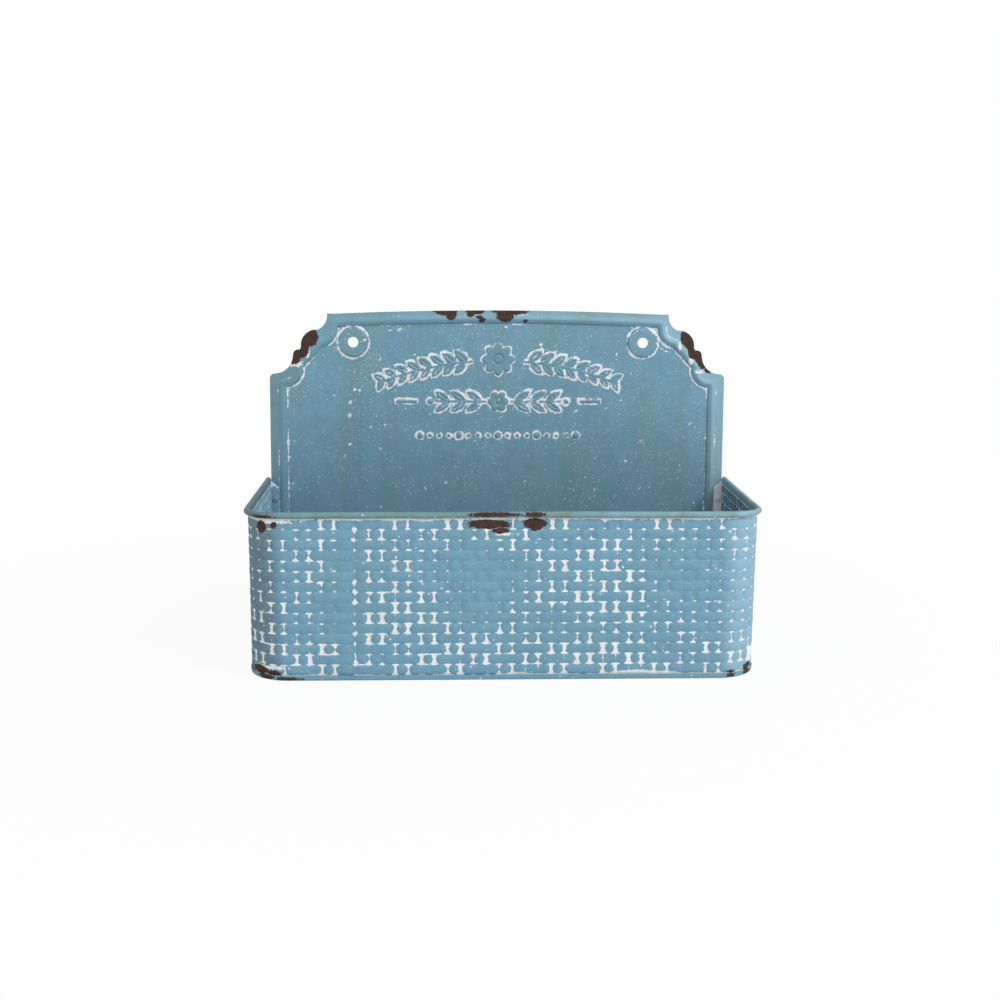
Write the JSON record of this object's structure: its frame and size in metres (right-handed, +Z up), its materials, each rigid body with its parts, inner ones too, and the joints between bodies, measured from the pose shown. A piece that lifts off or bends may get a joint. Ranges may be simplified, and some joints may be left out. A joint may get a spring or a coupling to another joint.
{
  "type": "wall planter",
  "caption": "Wall-hung pressed-tin planter: woven-relief trough, rolled rim and an embossed back plate with two hanging holes.",
  "frame": {"origin": "centre of the footprint, on the underside of the base", "axes": "+Z up, -Y towards the viewer (the woven front), +Y towards the wall, +X to the right seen from the front"},
  "size_m": [0.3854, 0.1567, 0.2653],
  "materials": {
    "blue_tin": "satin",
    "aged_tin": "brushed"
  },
  "bodies": {
    "root": {"back_plate": "blue_tin", "front_wrap": "blue_tin", "base_floor": "blue_tin", "base_lip": "blue_tin", "rim_wire": "aged_tin", "left_rivet_1": "aged_tin", "left_rivet_2": "aged_tin", "left_rivet_3": "aged_tin", "right_rivet_1": "aged_tin", "right_rivet_2": "aged_tin", "right_rivet_3": "aged_tin"}
  },
  "joints": []
}
